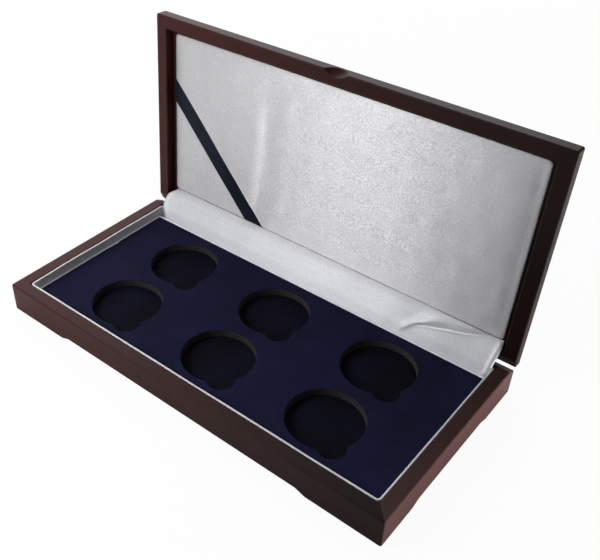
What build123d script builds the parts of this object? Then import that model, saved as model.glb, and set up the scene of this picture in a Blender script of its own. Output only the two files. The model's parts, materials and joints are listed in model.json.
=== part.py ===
from build123d import *
import math
import os

# Coin display case, millimetres, +Z up, shown open.
#
# Every piece is first drawn in the frame of the shut case: X from left to right with 0 in the middle,
# Y from the front face (0) to the rear face, Z from the underside of the feet (0) upwards. The lid pieces
# are then turned open about the hinge pins, and the whole is moved in Y so that the origin lies under the
# middle of the open case.

# ---- case ------------------------------------------------------------------------------------------
case_length = 300.0
case_width = 148.0
base_height = 21.0
lid_height = 9.0
rail_width = 9.0
corner_radius = 1.4  # upright outer corners
rim_ease = 1.0  # outer edges where lid and base meet
lid_top_ease = 1.3  # outer edges of the lid's top
foot_ease = 0.6  # outer edges of the underside
inner_ease = 0.4  # inner edges of both rims
rim_gap = 0.2  # between the rims of the shut case

# ---- bracket feet ----------------------------------------------------------------------------------
foot_lift = 2.8  # height of the cut-outs between the feet
foot_long = 48.0  # foot length along the front and rear
foot_short = 30.0  # foot length along the sides
foot_slope = 8.0  # run of the slope at the end of a foot
foot_bend = 4.0  # radius where the slope meets the cut-out

# ---- hinge line ------------------------------------------------------------------------------------
groove_width = 7.0  # rear chamfer on each rim, measured forwards from the rear face
groove_depth = 3.65  # and down, or up, the rear face
hinge_setback = 2.1  # pin to rear face
open_angle = 93.0
hinge_length = 26.0
hinge_inset = 52.0  # middle of a hinge to the end of the case
knuckle_count = 3
knuckle_gap = 0.1
barrel_radius = 1.6
pin_radius = 0.75
pin_clearance = 0.05
leaf_thickness = 0.8
leaf_reach = 7.0  # pin to the end of a leaf, square to the chamfer that it is pressed into
leaf_clearance = 0.2  # a leaf to the other leaf's knuckles, and to the ends of its kerf
barb_count = 4
barb_depth = 0.4
barb_pitch = 1.1

# ---- floor, lining and insert ----------------------------------------------------------------------
floor_lift = 3.2
floor_thickness = 3.0
floor_groove = 4.0
panel_clearance = 0.15
liner_thickness = 1.2
liner_gap = 0.1
liner_drop = 0.2  # liner top below the rim
liner_bend = 3.0  # outer bend radius at the corners
insert_gap = 0.2  # insert to liner
insert_rear_gap = 3.4  # room behind the insert for the hinge cloth
insert_corner = 2.0
board_thickness = 1.0
pocket_velvet = 0.6
foam_thickness = 5.5
top_velvet = 0.5
band_thickness = 0.5
pocket_radius = 24.0
pocket_columns = 3
pocket_rows = 2
pocket_pitch_x = 82.5
pocket_pitch_y = 57.0
pocket_setback = 0.4  # middle of the grid behind the middle of the insert
notch_radius = 9.0
notch_reach = 21.5  # pocket centre to notch centre
notch_angle = -45.0

# ---- lid -------------------------------------------------------------------------------------------
top_thickness = 2.0
top_rebate = 5.0
card_thickness = 0.5
pad_thickness = 0.5
card_margin = 4.0  # card to the rails, on three sides
card_rear_margin = 4.3
card_corner = 2.5
pad_overhang = 0.2
ribbon_width = 12.0
ribbon_thickness = 0.3
ribbon_side_reach = 80.9  # up the side of the pad from its rear corner
ribbon_rear_reach = 77.1  # along the rear of the pad from its rear corner
scoop_radius = 12.0
scoop_depth = 4.3
scoop_drop = 2.8  # middle of the scoop below the rim
scoop_lip = 2.0  # radius of the soft entry round the scoop
scoop_rim_ease = 0.5
scoop_overlap = 0.03  # the entry crosses the face a little inside its tangent

# ---- hinge cloth -----------------------------------------------------------------------------------
cloth_thickness = 0.5
cloth_end_gap = 0.6
cloth_stand_in = 1.6  # in front of the rims' inner faces
cloth_stand_out = 0.5  # clear of the rims
cloth_bulge = 1.0
cloth_tuck = 4.0
cloth_bend = 1.4

# ---- modelling -------------------------------------------------------------------------------------
overshoot = 1.0  # how far a cutter runs past the faces it cuts
tolerance = 1e-4

# ---- worked out ------------------------------------------------------------------------------------
half_length = case_length / 2
lid_base = base_height + rim_gap
lid_top = lid_base + lid_height
hinge_y = case_width - hinge_setback
hinge_z = base_height + rim_gap / 2
inner_x = half_length - rail_width
inner_front = rail_width
inner_rear = case_width - rail_width
floor_top = floor_lift + floor_thickness
board_top = floor_top + board_thickness
pocket_floor = board_top + pocket_velvet
foam_top = pocket_floor + foam_thickness
insert_top = foam_top + top_velvet
liner_top = base_height - liner_drop
liner_inset = liner_gap + liner_thickness
insert_x = inner_x - liner_inset - insert_gap
insert_front = inner_front + liner_inset + insert_gap
insert_rear = inner_rear - liner_inset - insert_rear_gap
insert_y = (insert_front + insert_rear) / 2
pocket_y = insert_y + pocket_setback
top_under = lid_top - top_thickness
card_under = top_under - card_thickness
pad_under = card_under - pad_thickness
card_x = inner_x - card_margin
card_front = inner_front + card_margin
card_rear = inner_rear - card_rear_margin
mitre_reach = rail_width * 2
hinge_places = (-half_length + hinge_inset, half_length - hinge_inset)
hinge_axis = Axis((0, hinge_y, hinge_z), (1, 0, 0))


def block(x0, x1, y0, y1, z0, z1):
    """A box between two opposite corners."""
    return Pos((x0 + x1) / 2, (y0 + y1) / 2, (z0 + z1) / 2) * Box(x1 - x0, y1 - y0, z1 - z0)


def plate(x0, x1, y0, y1, z0, z1, corner):
    """A flat sheet with rounded corners."""
    outline = Pos((x0 + x1) / 2, (y0 + y1) / 2, z0) * RectangleRounded(x1 - x0, y1 - y0, corner)
    return extrude(outline, z1 - z0)


def at_height(edges, z):
    """The edges that lie wholly at one height."""
    return edges.filter_by(lambda e: all(abs(v.Z - z) < tolerance for v in e.vertices()))


def section_yz(points, x0, x1):
    """A prism along X with the polygon of (y, z) points as its section."""
    face = Plane.YZ.offset(x0) * make_face(Polyline(*points, close=True))
    return extrude(face, x1 - x0)


# ---- wooden frames ---------------------------------------------------------------------------------
def eased_block(z0, z1, meeting_z, meeting_ease, other_z, other_ease):
    """The outside of a frame, with its edges eased except along the rear of the meeting face."""
    solid = block(-half_length, half_length, 0, case_width, z0, z1)
    solid = fillet(solid.edges().filter_by(Axis.Z), corner_radius)
    solid = fillet(at_height(solid.edges(), other_z), other_ease)
    return fillet(at_height(solid.edges(), meeting_z), meeting_ease)


def rear_chamfer(meeting_z, away):
    """The wedge taken off the rear of a rim; away is the direction from the meeting face into the wood."""
    over = groove_width
    slope = groove_depth / groove_width
    points = [
        (case_width - groove_width, meeting_z),
        (case_width + over, meeting_z + away * slope * (groove_width + over)),
        (case_width + over, meeting_z - away * over),
        (case_width - groove_width, meeting_z - away * over),
    ]
    return section_yz(points, -half_length - over, half_length + over)


def hollow(solid, z0, z1, meeting_z):
    """Cut the inside out of a frame and ease the inner edge of its rim."""
    inside = block(-inner_x, inner_x, inner_front, inner_rear, z0 - overshoot, z1 + overshoot)
    frame = solid - inside
    rim = at_height(frame.edges(), meeting_z).filter_by(
        lambda e: all(
            abs(v.X) < inner_x + tolerance and inner_front - tolerance < v.Y < inner_rear + tolerance
            for v in e.vertices()
        )
    )
    return chamfer(rim, inner_ease)


def rails(frame, z0, z1):
    """Split a frame at its mitres into front, rear, left and right rails."""
    far, m = half_length, mitre_reach
    w = case_width
    outlines = {
        "front": [(-far, 0), (far, 0), (far - m, m), (-far + m, m)],
        "rear": [(-far, w), (far, w), (far - m, w - m), (-far + m, w - m)],
        "left": [(-far, 0), (-far + m, m), (-far + m, w - m), (-far, w)],
        "right": [(far, 0), (far - m, m), (far - m, w - m), (far, w)],
    }
    pieces = {}
    for side, points in outlines.items():
        tool = extrude(Pos(0, 0, z0) * make_face(Polyline(*points, close=True)), z1 - z0)
        pieces[side] = frame & tool
    return pieces


def foot_opening(run, foot):
    """Outline of the cut-out between two feet, run long over all, drawn in X and Z about its middle."""
    toe = run / 2 - foot
    heel = toe - foot_slope
    below = foot_lift
    points = [(-toe, 0), (-heel, foot_lift), (heel, foot_lift), (toe, 0), (toe, -below), (-toe, -below)]
    face = make_face(Polyline(*points, close=True))
    tops = face.vertices().group_by(Axis.Y)[-1]
    return fillet(tops, foot_bend)


def foot_cuts():
    """The cut-outs under the long sides and the short sides."""
    along = extrude(Plane.XZ * foot_opening(case_length, foot_long), -case_width)
    across = extrude(
        Plane.YZ.offset(-half_length) * Pos(case_width / 2, 0) * foot_opening(case_width, foot_short),
        case_length,
    )
    return along + across


def base_frame():
    frame = eased_block(0, base_height, base_height, rim_ease, 0, foot_ease)
    frame -= rear_chamfer(base_height, -1)
    frame = hollow(frame, 0, base_height, base_height)
    g = floor_groove
    frame -= block(
        -inner_x - g, inner_x + g, inner_front - g, inner_rear + g, floor_lift, floor_top
    )
    return frame - foot_cuts()


def lid_frame():
    frame = eased_block(lid_base, lid_top, lid_base, rim_ease, lid_top, lid_top_ease)
    frame -= rear_chamfer(lid_base, 1)
    frame = hollow(frame, lid_base, lid_top, lid_base)
    g = top_rebate
    top = lid_top + overshoot
    return frame - block(-inner_x - g, inner_x + g, inner_front - g, inner_rear + g, top_under, top)


def thumb_scoop(rail):
    """A round hollow in the middle of the lid's front face, open at the rim, with a soft entry."""
    ball_y = scoop_depth - scoop_radius
    reach = scoop_radius + scoop_lip
    lip_x = math.sqrt(reach**2 - (scoop_lip - ball_y) ** 2)
    share = scoop_radius / reach
    join = (lip_x * share, ball_y + (scoop_lip - ball_y) * share)
    outside = -scoop_lip
    outline = Curve() + [
        RadiusArc((0, scoop_depth), join, scoop_radius),
        RadiusArc(join, (lip_x, 0), -scoop_lip),
        Polyline((lip_x, 0), (lip_x, outside), (0, outside), (0, scoop_depth)),
    ]
    cutter = revolve(make_face(outline), Axis.Y)
    rail -= Pos(0, -scoop_overlap, lid_base - scoop_drop) * cutter
    arcs = at_height(rail.edges(), lid_base).filter_by(
        lambda e: all(abs(v.X) < scoop_radius for v in e.vertices())
    )
    return fillet(arcs, scoop_rim_ease)


# ---- hinges ----------------------------------------------------------------------------------------
def knuckle_spans(lid):
    """X ranges of one leaf's knuckles: the base leaf has the odd ones, the lid leaf the even ones."""
    pitch = hinge_length / knuckle_count
    first = -hinge_length / 2
    spans = []
    for k in range(1 if lid else 0, knuckle_count, 2):
        x0 = first + k * pitch + (knuckle_gap / 2 if k > 0 else 0)
        x1 = first + (k + 1) * pitch - (knuckle_gap / 2 if k < knuckle_count - 1 else 0)
        spans.append((x0, x1))
    return spans


def leaf_plane(x, lid):
    """The plane of one leaf: X along the hinge, Y from the pin square into the rim's rear chamfer."""
    slant = math.hypot(groove_width, groove_depth)
    rise = groove_width if lid else -groove_width
    depth = Vector(0, -groove_depth / slant, rise / slant)
    return Plane(origin=(x, hinge_y, hinge_z), x_dir=(1, 0, 0), z_dir=Vector(1, 0, 0).cross(depth))


def leaf_outline():
    """A leaf's outline in its plane, with barbs up both short ends."""
    plain = hinge_length / 2 - barb_depth
    right = [(plain, 0)]
    for k in range(barb_count):
        step = leaf_reach - (barb_count - k) * barb_pitch
        right += [(plain, step), (plain + barb_depth, step)]
    right.append((plain, leaf_reach))
    return right + [(-u, v) for u, v in reversed(right)]


def along_x(radius, x0, x1):
    """A cylinder along X about the hinge line."""
    return Pos((x0 + x1) / 2, hinge_y, hinge_z) * Rot(0, 90, 0) * Cylinder(radius, x1 - x0)


def leaf(x, lid):
    """One leaf: knuckles on the pin and a barbed plate that is pressed into the rim."""
    plane = leaf_plane(x, lid)
    outline = make_face(Polyline(*leaf_outline(), close=True))
    body = extrude(plane * outline, leaf_thickness / 2, both=True)
    room = barrel_radius + leaf_clearance
    for k0, k1 in knuckle_spans(not lid):
        k0, k1 = k0 - knuckle_gap, k1 + knuckle_gap
        body -= plane * Pos((k0 + k1) / 2, 0) * Box(k1 - k0, 2 * room, 2 * room)
    for k0, k1 in knuckle_spans(lid):
        body += along_x(barrel_radius, x + k0, x + k1)
    return body - along_x(pin_radius + pin_clearance, x - hinge_length, x + hinge_length)


def pin(x):
    return along_x(pin_radius, x - hinge_length / 2, x + hinge_length / 2)


def kerf(x, lid):
    """The slot in a rim that one leaf is pressed into."""
    deep = leaf_reach + leaf_clearance
    slot = Box(hinge_length + 2 * leaf_clearance, deep, leaf_thickness)
    return leaf_plane(x, lid) * Pos(0, deep / 2) * slot


# ---- lining and insert -----------------------------------------------------------------------------
def wall_liner():
    """A band of covered card bent round the left, front and right of the base."""
    past = inner_rear + 2 * liner_bend
    g, bend = liner_gap, liner_bend
    outer = plate(-inner_x + g, inner_x - g, inner_front + g, past, floor_top, liner_top, bend)
    g, bend = liner_inset, liner_bend - liner_thickness
    inner = plate(-inner_x + g, inner_x - g, inner_front + g, past + overshoot, floor_top, liner_top, bend)
    beyond = block(-half_length, half_length, inner_rear - liner_gap, past, floor_top, liner_top)
    return outer - inner - beyond


def insert_sheet(z0, z1, inset=0.0):
    """One layer of the insert, inset from its outline."""
    far, front, rear = insert_x - inset, insert_front + inset, insert_rear - inset
    return plate(-far, far, front, rear, z0, z1, insert_corner - inset)


def pocket_tool(z0, z1):
    """All the pockets as one cutter: a round seat with a thumb notch on its front right."""
    angle = math.radians(notch_angle)
    notch = Pos(notch_reach * math.cos(angle), notch_reach * math.sin(angle)) * Circle(notch_radius)
    outline = Circle(pocket_radius) + notch
    grid = GridLocations(pocket_pitch_x, pocket_pitch_y, pocket_columns, pocket_rows)
    cells = Sketch() + [Pos(0, pocket_y, z0) * place * outline for place in grid]
    return extrude(cells, z1 - z0)


def insert_parts():
    band = insert_sheet(pocket_floor, insert_top) - insert_sheet(pocket_floor, insert_top, band_thickness)
    return {
        "insert_backing_board": insert_sheet(floor_top, board_top),
        "insert_pocket_velvet": insert_sheet(board_top, pocket_floor),
        "insert_foam": insert_sheet(pocket_floor, foam_top, band_thickness)
        - pocket_tool(pocket_floor, foam_top),
        "insert_top_velvet": insert_sheet(foam_top, insert_top, band_thickness)
        - pocket_tool(foam_top, insert_top),
        "insert_edge_band": band,
    }


# ---- lid lining ------------------------------------------------------------------------------------
def ribbon():
    """A flat ribbon across the rear left corner of the pad, cut off at the pad's edges."""
    side = Vector(-card_x, card_rear - ribbon_side_reach)
    rear = Vector(-card_x + ribbon_rear_reach, card_rear)
    middle = (side + rear) * 0.5
    angle = math.degrees(math.atan2(rear.Y - side.Y, rear.X - side.X))
    strip = Pos(middle.X, middle.Y) * Rot(0, 0, angle) * Rectangle(case_length, ribbon_width)
    field = Pos(0, (card_front + card_rear) / 2) * Rectangle(2 * card_x, card_rear - card_front)
    return extrude(Pos(0, 0, pad_under - ribbon_thickness) * (strip & field), ribbon_thickness)


def lid_lining():
    g, o = top_rebate, pad_overhang
    far = inner_x + g
    pad_x, pad_front, pad_rear = card_x + o, card_front - o, card_rear + o
    return {
        "lid_top_panel": block(-far, far, inner_front - g, inner_rear + g, top_under, lid_top),
        "lid_liner_card": plate(-card_x, card_x, card_front, card_rear, card_under, top_under, card_corner),
        "lid_liner_pad": plate(-pad_x, pad_x, pad_front, pad_rear, pad_under, card_under, card_corner + o),
        "lid_ribbon": ribbon(),
    }


# ---- hinge cloth -----------------------------------------------------------------------------------
def opened(y, z):
    """Where a point of the shut lid lies when the lid is open."""
    a = math.radians(open_angle)
    dy, dz = y - hinge_y, z - hinge_z
    return (
        hinge_y + dy * math.cos(a) + dz * math.sin(a),
        hinge_z - dy * math.sin(a) + dz * math.cos(a),
    )


def hinge_cloth():
    """The strip of cloth that is tucked behind the pad and the insert and hides the hinges."""
    t = cloth_thickness
    lid_y = card_rear + pad_overhang + t
    base_y = insert_rear + t
    corner_y = inner_rear - cloth_stand_in
    lid_tuck = opened(lid_y, card_under)
    lid_crease = opened(lid_y, pad_under - t)
    lid_corner = opened(corner_y, lid_base - cloth_stand_out)
    base_corner = (corner_y, base_height + cloth_stand_out)
    base_crease = (base_y, insert_top + t)
    base_tuck = (base_y, insert_top - cloth_tuck)
    across = (Vector(*lid_corner) + Vector(*base_corner)) * 0.5
    run = (Vector(*base_corner) - Vector(*lid_corner)).normalized()
    bulge = across + Vector(run.Y, -run.X) * cloth_bulge
    points = [lid_tuck, lid_crease, lid_corner, (bulge.X, bulge.Y), base_corner, base_crease, base_tuck]
    path = FilletPolyline(*points, radius=cloth_bend)
    face = trace(path, t)
    width = inner_x - liner_inset - cloth_end_gap
    return extrude(Plane.YZ.offset(-width) * face, 2 * width)


# ---- assembly --------------------------------------------------------------------------------------
def base_parts():
    parts = {}
    for side, rail in rails(base_frame(), 0, base_height).items():
        parts[f"base_{side}_rail"] = rail
    g = floor_groove - panel_clearance
    parts["base_floor_panel"] = block(
        -inner_x - g, inner_x + g, inner_front - g, inner_rear + g, floor_lift, floor_top
    )
    parts["wall_liner"] = wall_liner()
    parts.update(insert_parts())
    for name, x in zip(("left", "right"), hinge_places):
        parts["base_rear_rail"] -= kerf(x, False)
        parts[f"hinge_{name}_base_leaf"] = leaf(x, False)
        parts[f"hinge_{name}_pin"] = pin(x)
    return parts


def lid_parts():
    parts = {}
    for side, rail in rails(lid_frame(), lid_base, lid_top).items():
        parts[f"lid_{side}_rail"] = rail
    parts["lid_front_rail"] = thumb_scoop(parts["lid_front_rail"])
    parts.update(lid_lining())
    for name, x in zip(("left", "right"), hinge_places):
        parts["lid_rear_rail"] -= kerf(x, True)
        parts[f"hinge_{name}_lid_leaf"] = leaf(x, True)
    return parts


def main():
    os.makedirs("parts", exist_ok=True)
    nodes = base_parts()
    for name, shape in lid_parts().items():
        nodes[name] = shape.rotate(hinge_axis, -open_angle)
    nodes["hinge_cloth"] = hinge_cloth()
    middle = Compound(list(nodes.values())).bounding_box().center().Y
    for name, shape in nodes.items():
        export_step(Pos(0, -middle, 0) * shape, f"parts/{name}.step")
    print("hinge axis y, z:", round(hinge_y - middle, 4), round(hinge_z, 4))
    print("front face y:", round(-middle, 4), "pocket grid y:", round(pocket_y - middle, 4))


main()
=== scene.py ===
"""Looks of an open coin display case: lacquered frame, satin linings, flocked insert, ribbon."""

import sys

import json
import logging
import math
from dataclasses import dataclass, field
from enum import Enum
from itertools import product

import bmesh
import bpy
import numpy as np
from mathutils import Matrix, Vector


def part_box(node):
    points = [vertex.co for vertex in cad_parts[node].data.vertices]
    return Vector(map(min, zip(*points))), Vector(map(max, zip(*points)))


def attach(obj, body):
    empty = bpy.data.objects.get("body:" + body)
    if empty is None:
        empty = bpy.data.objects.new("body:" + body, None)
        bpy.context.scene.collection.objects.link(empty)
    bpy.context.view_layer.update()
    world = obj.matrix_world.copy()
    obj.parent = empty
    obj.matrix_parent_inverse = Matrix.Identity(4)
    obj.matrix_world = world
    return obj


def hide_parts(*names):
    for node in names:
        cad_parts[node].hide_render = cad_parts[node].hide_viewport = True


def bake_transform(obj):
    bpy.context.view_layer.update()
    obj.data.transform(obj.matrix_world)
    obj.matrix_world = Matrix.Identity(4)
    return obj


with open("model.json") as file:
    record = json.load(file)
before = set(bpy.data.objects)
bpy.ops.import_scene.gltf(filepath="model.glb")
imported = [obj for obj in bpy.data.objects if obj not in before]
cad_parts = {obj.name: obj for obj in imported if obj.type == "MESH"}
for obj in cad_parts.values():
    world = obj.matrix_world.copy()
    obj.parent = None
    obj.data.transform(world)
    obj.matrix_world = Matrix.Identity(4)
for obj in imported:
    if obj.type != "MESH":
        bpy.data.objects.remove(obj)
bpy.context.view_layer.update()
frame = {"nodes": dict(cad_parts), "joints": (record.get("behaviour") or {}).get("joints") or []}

LOG = logging.getLogger("coin_case")
MM = 0.001
MEASURE = "measure"  # name of the map that holds a surface's own flat measure
SAME_POINT = 0.004 * MM

Array = np.ndarray


# ---- frames and small mathematics --------------------------------------------------------------


@dataclass(frozen=True)
class CaseFrame:
    """The frame of the shut case, in millimetres, and where its points lie on the open case.

    x runs from left to right with 0 in the middle, y from the front face backwards and z upwards.
    """

    front_y: float
    hinge_y: float
    hinge_z: float
    open_angle: float

    @classmethod
    def from_model(cls) -> "CaseFrame":
        """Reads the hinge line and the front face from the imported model."""
        joint = frame["joints"][0]
        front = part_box("base_front_rail")[0].y / MM
        return cls(
            front_y=front,
            hinge_y=joint["pos_m"][1] / MM - front,
            hinge_z=joint["pos_m"][2] / MM,
            open_angle=math.radians(joint["range_deg"][1]),
        )

    def base(self, points: Array) -> Array:
        """Moves points of the base to their place, in metres."""
        return (points + np.array([0.0, self.front_y, 0.0])) * MM

    def lid(self, points: Array) -> Array:
        """Turns points of the shut lid open about the hinge pins, in metres.

        A point's offset from the pins turns backwards by the open angle, in the plane of y and z.

        Args:
            points: points of the shut lid, in millimetres.

        Returns:
            Where they lie on the open case.
        """
        y, z = points[..., 1] - self.hinge_y, points[..., 2] - self.hinge_z
        cosine, sine = math.cos(self.open_angle), math.sin(self.open_angle)
        turned = np.stack(
            [
                points[..., 0],
                self.hinge_y + y * cosine + z * sine,
                self.hinge_z - y * sine + z * cosine,
            ],
            axis=-1,
        )
        return self.base(turned)

    def shut(self, points: Array) -> Array:
        """Turns points of the open lid back to the shut one.

        Args:
            points: points of the open lid, in metres.

        Returns:
            Where they lie on the shut case, in millimetres.
        """
        y = points[..., 1] / MM - self.front_y - self.hinge_y
        z = points[..., 2] / MM - self.hinge_z
        cosine, sine = math.cos(self.open_angle), math.sin(self.open_angle)
        turned = (points[..., 0] / MM, self.hinge_y + y * cosine - z * sine)
        return np.stack([*turned, self.hinge_z + y * sine + z * cosine], axis=-1)


CASE = CaseFrame.from_model()


def ease(x: Array, low: float, high: float) -> Array:
    """Goes from 0 at low to 1 at high along a smooth S (3t squared less 2t cubed)."""
    t = np.clip((x - low) / (high - low), 0.0, 1.0)
    return t * t * (3.0 - 2.0 * t)


def bell(x: Array, middle: Array | float, width: float) -> Array:
    """A bell curve of height 1: e to the minus square of the distance in widths."""
    return np.exp(-(((x - middle) / width) ** 2))


def through(knots: Array, values: Array, at: Array) -> Array:
    """Carries a smooth curve through named points.

    Between two knots it is the cubic with the slopes of the neighbouring chords (Catmull-Rom).

    Args:
        knots: increasing places of the points.
        values: value or values at each of them.
        at: places at which the curve is wanted.

    Returns:
        The curve's values, one row for each place.
    """
    knots, values = np.asarray(knots, float), np.asarray(values, float)
    flat = values.reshape(len(knots), -1)
    slopes = np.gradient(flat, knots, axis=0)
    where = np.clip(np.searchsorted(knots, at, side="right") - 1, 0, len(knots) - 2)
    step = (knots[where + 1] - knots[where])[..., None]
    t = np.clip((at - knots[where])[..., None] / step, 0.0, 1.0)
    start, end = flat[where], flat[where + 1]
    rise, fall = slopes[where] * step, slopes[where + 1] * step
    curve = (
        (2 * t**3 - 3 * t**2 + 1) * start
        + (t**3 - 2 * t**2 + t) * rise
        + (3 * t**2 - 2 * t**3) * end
        + (t**3 - t**2) * fall
    )
    return curve.reshape(np.shape(at) + values.shape[1:])


@dataclass(frozen=True)
class Ripple:
    """A gentle unevenness: a few crossing sine waves with seeded directions and phases."""

    seed: int
    wavelength: float
    height: float
    waves: int = 7

    def at(self, u: Array, v: Array) -> Array:
        """Adds the waves up at each point, so that their sum rarely passes the height.

        Args:
            u: the points' place one way.
            v: their place the other way.

        Returns:
            The height at each.
        """
        source = np.random.default_rng(self.seed)
        turn = source.uniform(0.0, math.tau, (self.waves, 1))
        phase = source.uniform(0.0, math.tau, (self.waves, 1))
        length = self.wavelength * source.uniform(0.6, 1.7, (self.waves, 1))
        along = np.cos(turn) * np.ravel(u) + np.sin(turn) * np.ravel(v)
        total = np.sin(math.tau * along / length + phase).sum(axis=0)
        return (self.height * total / math.sqrt(self.waves)).reshape(np.shape(u))


# ---- meshes ----------------------------------------------------------------------------------------


def grid_faces(
    rows: int, columns: int, wrap_rows: bool = False, wrap_columns: bool = False
) -> Array:
    """Numbers the four corners of every square between neighbours on a grid.

    Args:
        rows: points along the first way of the grid.
        columns: points along the second, which are numbered one after the other.
        wrap_rows: joins the last row to the first.
        wrap_columns: joins the last column to the first.

    Returns:
        One row of four point numbers for each square.
    """
    i = np.arange(rows if wrap_rows else rows - 1)[:, None]
    j = np.arange(columns if wrap_columns else columns - 1)[None, :]
    i_next, j_next = (i + 1) % rows, (j + 1) % columns
    corners = [
        i * columns + j,
        i_next * columns + j,
        i_next * columns + j_next,
        i * columns + j_next,
    ]
    return np.stack([np.broadcast_to(c, (i.size, j.size)).ravel() for c in corners], 1)


def put(name: str, data: bpy.types.ID) -> bpy.types.Object:
    """Puts a mesh, a light or a camera into the scene."""
    made = bpy.data.objects.new(name, data)
    bpy.context.scene.collection.objects.link(made)
    return made


@dataclass
class Shell:
    """Collects grids of points into one closed surface."""

    points: list[Array] = field(default_factory=list)
    faces: list[list[int]] = field(default_factory=list)
    marks: list[Array] = field(default_factory=list)
    count: int = 0

    def add(
        self,
        grid: Array,
        wrap_rows: bool = False,
        wrap_columns: bool = False,
        flip: bool = False,
        marks: Array | None = None,
    ) -> None:
        """Adds a grid of points as squares.

        Args:
            grid: rows x columns x 3 points.
            wrap_rows: joins the last row to the first.
            wrap_columns: joins the last column to the first.
            flip: turns the squares over.
            marks: two numbers for each point, kept as the surface's own flat measure in metres.
        """
        faces = grid_faces(grid.shape[0], grid.shape[1], wrap_rows, wrap_columns)
        if flip:
            faces = faces[:, ::-1]
        self.faces += (faces + self.count).tolist()
        self.points.append(grid.reshape(-1, 3))
        flat = np.zeros((grid.shape[0] * grid.shape[1], 2)) if marks is None else marks
        self.marks.append(flat.reshape(-1, 2))
        self.count += grid.shape[0] * grid.shape[1]

    def cap(self, ring: Array, flip: bool = False) -> None:
        """Closes a flat, convex ring of points with one face.

        Args:
            ring: the points, one after the other.
            flip: turns the face over.
        """
        numbers = list(range(self.count, self.count + len(ring)))
        self.faces.append(numbers[::-1] if flip else numbers)
        self.points.append(ring)
        self.marks.append(np.zeros((len(ring), 2)))
        self.count += len(ring)

    def piece(self, name: str) -> bpy.types.Object:
        """Makes the piece, with its doubled points merged and its faces turned outwards.

        Args:
            name: the piece's name.

        Returns:
            The piece, in the scene.
        """
        mesh = bpy.data.meshes.new(name)
        mesh.from_pydata(np.concatenate(self.points).tolist(), [], self.faces)
        measure = mesh.uv_layers.new(name=MEASURE)
        corner = np.empty(len(mesh.loops), np.int32)
        mesh.loops.foreach_get("vertex_index", corner)
        marks = np.concatenate(self.marks)[corner]
        measure.data.foreach_set("uv", marks.astype(np.float32).ravel())
        work = bmesh.new()
        work.from_mesh(mesh)
        bmesh.ops.remove_doubles(work, verts=work.verts, dist=SAME_POINT)
        bmesh.ops.recalc_face_normals(work, faces=work.faces)
        work.to_mesh(mesh)
        work.free()
        mesh.polygons.foreach_set("use_smooth", np.full(len(mesh.polygons), True))
        mesh.update()
        return put(name, mesh)


@dataclass(frozen=True)
class Wadding:
    """Puffs a padded piece up with a short cloth simulation and keeps the result."""

    pressure: float = 12.0
    stretch: float = 12.0
    shear: float = 4.0
    bend: float = 0.3
    mass: float = 0.15
    frames: int = 6
    quality: int = 2
    most: float = 0.4  # how far a point may move, in millimetres

    def puff(self, piece: bpy.types.Object, held: Array) -> None:
        """Runs the simulation.

        Each point's own move m is then shortened to m times most, over the root of the sum of the
        squares of both, so that none goes past the limit.

        Args:
            piece: a closed mesh.
            held: for each point, 1 where it is glued down and 0 where it is free.
        """
        group = piece.vertex_groups.new(name="held")
        for k, weight in enumerate(held.tolist()):
            if weight > 0.0:
                group.add([k], weight, "REPLACE")
        cloth = piece.modifiers.new("wadding", "CLOTH")
        settings = cloth.settings
        settings.vertex_group_mass = group.name
        settings.quality = self.quality
        settings.mass = self.mass
        settings.tension_stiffness = settings.compression_stiffness = self.stretch
        settings.shear_stiffness = self.shear
        settings.bending_stiffness = self.bend
        settings.use_pressure = True
        settings.uniform_pressure_force = self.pressure
        settings.effector_weights.gravity = 0.0
        cloth.point_cache.frame_start, cloth.point_cache.frame_end = 1, self.frames
        scene = bpy.context.scene
        for k in range(1, self.frames + 1):
            scene.frame_set(k)
        solved = piece.evaluated_get(bpy.context.evaluated_depsgraph_get())
        start, end = np.empty(len(held) * 3), np.empty(len(held) * 3)
        piece.data.vertices.foreach_get("co", start)
        solved.data.vertices.foreach_get("co", end)
        move = (end - start).reshape(-1, 3) / MM
        size = np.linalg.norm(move, axis=1, keepdims=True)
        LOG.info("%s: the simulation moved points by up to %.3f mm", piece.name, float(size.max()))
        kept = move * self.most / np.sqrt(self.most**2 + size**2)
        piece.modifiers.remove(cloth)
        piece.vertex_groups.remove(group)
        scene.frame_set(1)
        piece.data.vertices.foreach_set("co", start + kept.ravel() * MM)
        piece.data.update()


def rounded_path(
    half_x: float, front: float, rear: float, radius: float, step: float = 1.6, turns: int = 9
) -> tuple[Array, Array]:
    """Follows a rectangle with rounded corners, anticlockwise seen from above.

    Args:
        half_x: half of the rectangle's length.
        front: y of its front side.
        rear: y of its rear side.
        radius: radius of its corners.
        step: about how far apart the points along a side are.
        turns: points round each corner.

    Returns:
        The points and the outward direction at each, one row each.
    """
    corners = [
        (half_x, front, -90.0),
        (half_x, rear, 0.0),
        (-half_x, rear, 90.0),
        (-half_x, front, 180.0),
    ]

    def middle(x: float, y: float) -> Array:
        """The middle of the rounding at the corner at x and y."""
        return np.array([x - math.copysign(radius, x), y + (radius if y == front else -radius)])

    points, outward = [], []
    for k, (x, y, start) in enumerate(corners):
        angle = np.radians(start + np.linspace(0.0, 90.0, turns))
        way = np.stack([np.cos(angle), np.sin(angle)], 1)
        arc = middle(x, y) + radius * way
        nx, ny, nstart = corners[(k + 1) % 4]
        begin = np.radians(nstart)
        target = middle(nx, ny) + radius * np.array([math.cos(begin), math.sin(begin)])
        count = max(2, round(float(np.linalg.norm(target - arc[-1])) / step))
        t = np.linspace(0.0, 1.0, count + 1)[1:-1, None]
        points += [arc, arc[-1] + t * (target - arc[-1])]
        outward += [way, np.broadcast_to(way[-1], (count - 1, 2))]
    return np.concatenate(points), np.concatenate(outward)


# ---- shader nodes ----------------------------------------------------------------------------------

WHITE = (1.0, 1.0, 1.0, 1.0)


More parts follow.
